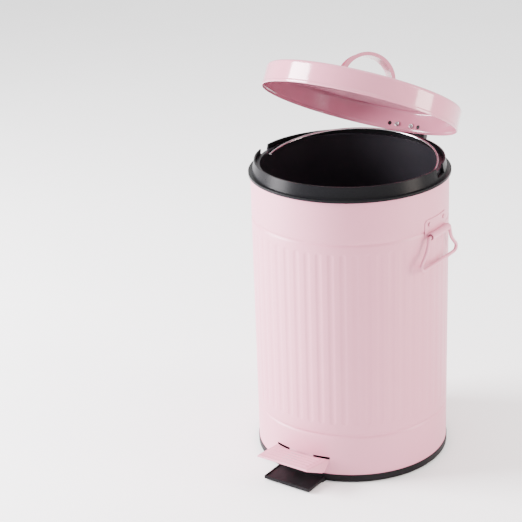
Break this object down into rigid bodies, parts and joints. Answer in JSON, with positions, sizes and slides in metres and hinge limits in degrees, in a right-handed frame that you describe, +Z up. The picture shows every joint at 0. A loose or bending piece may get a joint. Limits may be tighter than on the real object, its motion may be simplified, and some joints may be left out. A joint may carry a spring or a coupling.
{
  "type": "pedal bin",
  "caption": "Round steel pedal bin with a hinged soft-closing lid, a lift-out bucket with a wire bail, a wire drop handle, and a foot pedal that lifts the lid through a lever and a rod.",
  "frame": {"origin": "on the floor, under the middle of the body", "axes": "+Z up, -Y towards the pedal and the user, +Y towards the lid's hinge, X along the hinge and pedal axles"},
  "size_m": [0.261, 0.3371, 0.5325],
  "materials": {
    "pink_body": "pale pink powder coat, satin",
    "pink_lid": "pale pink paint, glossy",
    "black_plastic": "black, semi-gloss",
    "matte_black": "black, fine texture",
    "black_steel": "black paint, satin",
    "plain_steel": "zinc-plated sheet",
    "bright_steel": "bright plated wire and fixings"
  },
  "bodies": {
    "bin": {"outer_shell": "pink_body", "top_collar": "black_plastic", "base_pan": "matte_black", "side_handle_rivets": "pink_body", "hinge_base": "black_steel", "hinge_rivets": "bright_steel", "hinge_pin": "bright_steel", "hinge_pin_clip": "bright_steel", "damper_housing": "black_plastic", "pedal_bracket": "plain_steel", "pedal_bracket_screws": "bright_steel", "pedal_axle": "bright_steel", "axle_clips": "bright_steel", "rod_guides": "black_plastic", "side_handle_plate": "pink_body"},
    "lid": {"lid_shell": "pink_lid", "lid_handle": "pink_lid", "lid_handle_rivets": "pink_lid", "lid_hinge_bracket": "black_steel", "lid_hinge_screws": "bright_steel", "lever_pin": "bright_steel", "damper_rotor": "black_plastic"},
    "pedal": {"pedal_cover": "pink_body", "pedal_lever": "plain_steel", "pedal_bushing": "black_plastic"},
    "rod": {"lift_rod": "bright_steel", "rod_head": "plain_steel", "rod_foot": "black_plastic"},
    "bucket": {"inner_bucket": "matte_black"},
    "bail": {"bucket_bail": "bright_steel"},
    "handle": {"side_handle": "pink_body"}
  },
  "joints": [
    {"name": "lid_hinge", "type": "hinge", "parent": "bin", "child": "lid", "pos_m": [0, 0.15, 0.367], "axis": [-1, 0, 0], "range_deg": [-28, 42]},
    {"name": "rod_slide", "type": "slide", "parent": "bin", "child": "rod", "axis": [0, 0, 1], "range_m": [-0.009, 0.0134]},
    {"name": "pedal_pivot", "type": "hinge", "parent": "bin", "child": "pedal", "pos_m": [0, -0.05, 0.022], "axis": [1, 0, 0], "range_deg": [-3.1, 4.6]},
    {"name": "bucket_lift", "type": "slide", "parent": "bin", "child": "bucket", "axis": [0, 0, 1], "range_m": [0, 0.004]},
    {"name": "bail_pivot", "type": "hinge", "parent": "bucket", "child": "bail", "pos_m": [0, 0, 0.3855], "axis": [0.9877, 0.1564, 0], "range_deg": [-4, 2]},
    {"name": "handle_pivot", "type": "hinge", "parent": "bin", "child": "handle", "pos_m": [0.129, 0, 0.3185], "axis": [0, -1, 0], "range_deg": [0, 150]}
  ],
  "couplings": [
    {"joint": "rod_slide", "follows": "lid_hinge", "m_per_rad": 0.0182},
    {"joint": "pedal_pivot", "follows": "lid_hinge", "ratio": 0.1079}
  ]
}
